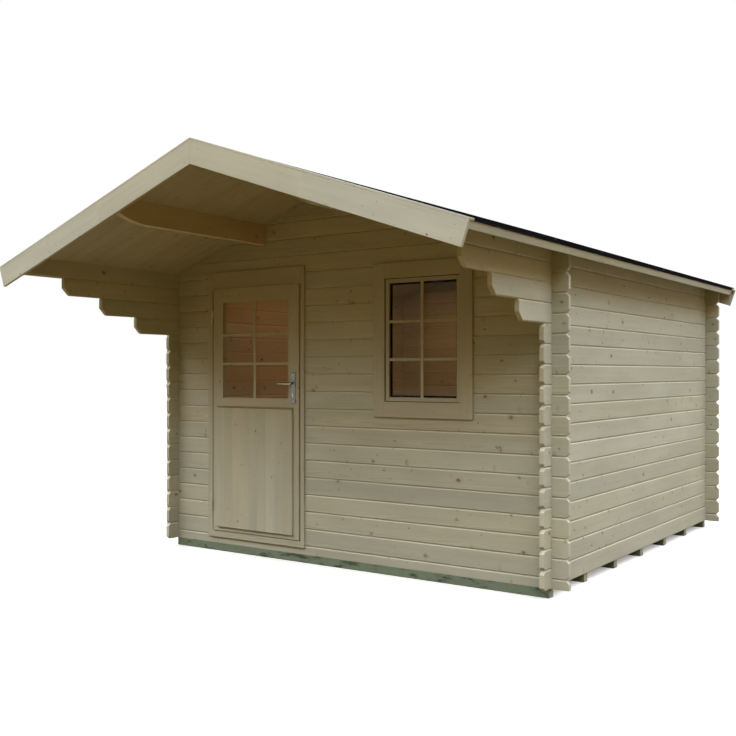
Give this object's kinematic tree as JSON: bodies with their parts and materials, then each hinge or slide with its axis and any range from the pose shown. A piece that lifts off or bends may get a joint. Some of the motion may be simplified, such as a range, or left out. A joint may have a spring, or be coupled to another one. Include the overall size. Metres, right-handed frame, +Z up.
{
  "type": "log cabin",
  "caption": "Small gabled garden cabin of notched interlocking logs with a deep front canopy, a half-glazed hinged door, a fixed window and a felted roof on ground bearers.",
  "frame": {"origin": "middle of the underside of the middle bearer, on the ground under the centre of the walls", "axes": "+X to the right as seen from the front, +Y to the back, +Z up; the door and canopy face -Y"},
  "size_m": [3.428, 4.496, 2.5432],
  "materials": {
    "spruce_logs": "matte",
    "spruce_joinery": "matte",
    "treated_timber": "matte",
    "roofing_felt": "matte",
    "steel_fittings": "satin",
    "clear_glass": "gloss"
  },
  "bodies": {
    "cabin": {"left_wall_even_logs": "spruce_logs", "left_wall_odd_logs": "spruce_logs", "right_wall_even_logs": "spruce_logs", "right_wall_odd_logs": "spruce_logs", "back_wall_even_logs": "spruce_logs", "back_wall_odd_logs": "spruce_logs", "front_long_even_logs": "spruce_logs", "front_long_odd_logs": "spruce_logs", "front_left_even_logs": "spruce_logs", "front_left_odd_logs": "spruce_logs", "front_right_even_logs": "spruce_logs", "front_right_odd_logs": "spruce_logs", "floor": "spruce_logs", "purlin_left": "spruce_logs", "purlin_right": "spruce_logs", "roof_deck_left": "spruce_logs", "roof_deck_right": "spruce_logs", "bargeboards_left": "spruce_joinery", "bargeboards_right": "spruce_joinery", "verge_caps_left": "spruce_joinery", "verge_caps_right": "spruce_joinery", "eave_fascia_left": "spruce_joinery", "eave_fascia_right": "spruce_joinery", "window_trim_sides": "spruce_joinery", "window_trim_rails": "spruce_joinery", "window_lining_sides": "spruce_joinery", "window_lining_rails": "spruce_joinery", "window_sash_stiles": "spruce_joinery", "window_sash_rails": "spruce_joinery", "door_jambs": "spruce_joinery", "door_head": "spruce_joinery", "door_sill": "spruce_joinery", "door_stops": "spruce_joinery", "door_hinge_pins": "steel_fittings", "window_glass": "clear_glass", "bearers": "treated_timber", "roof_felt_left": "roofing_felt", "roof_felt_right": "roofing_felt"},
    "door": {"door_stiles": "spruce_joinery", "door_rails": "spruce_joinery", "door_panel": "spruce_joinery", "door_glass": "clear_glass", "door_hinge_knuckles": "steel_fittings", "door_handle_plates": "steel_fittings"},
    "lever": {"door_lever": "steel_fittings"}
  },
  "joints": [
    {"name": "door_hinge", "type": "hinge", "parent": "cabin", "child": "door", "pos_m": [-1.11, -1.57, 0.355], "axis": [0, 0, -1], "range_deg": [0, 110]},
    {"name": "lever_turn", "type": "hinge", "parent": "door", "child": "lever", "pos_m": [-0.36, -1.543, 1.201], "axis": [0, -1, 0], "range_deg": [0, 40], "stiffness_Nm_per_rad": 1.5, "springref_deg": -20.05}
  ]
}
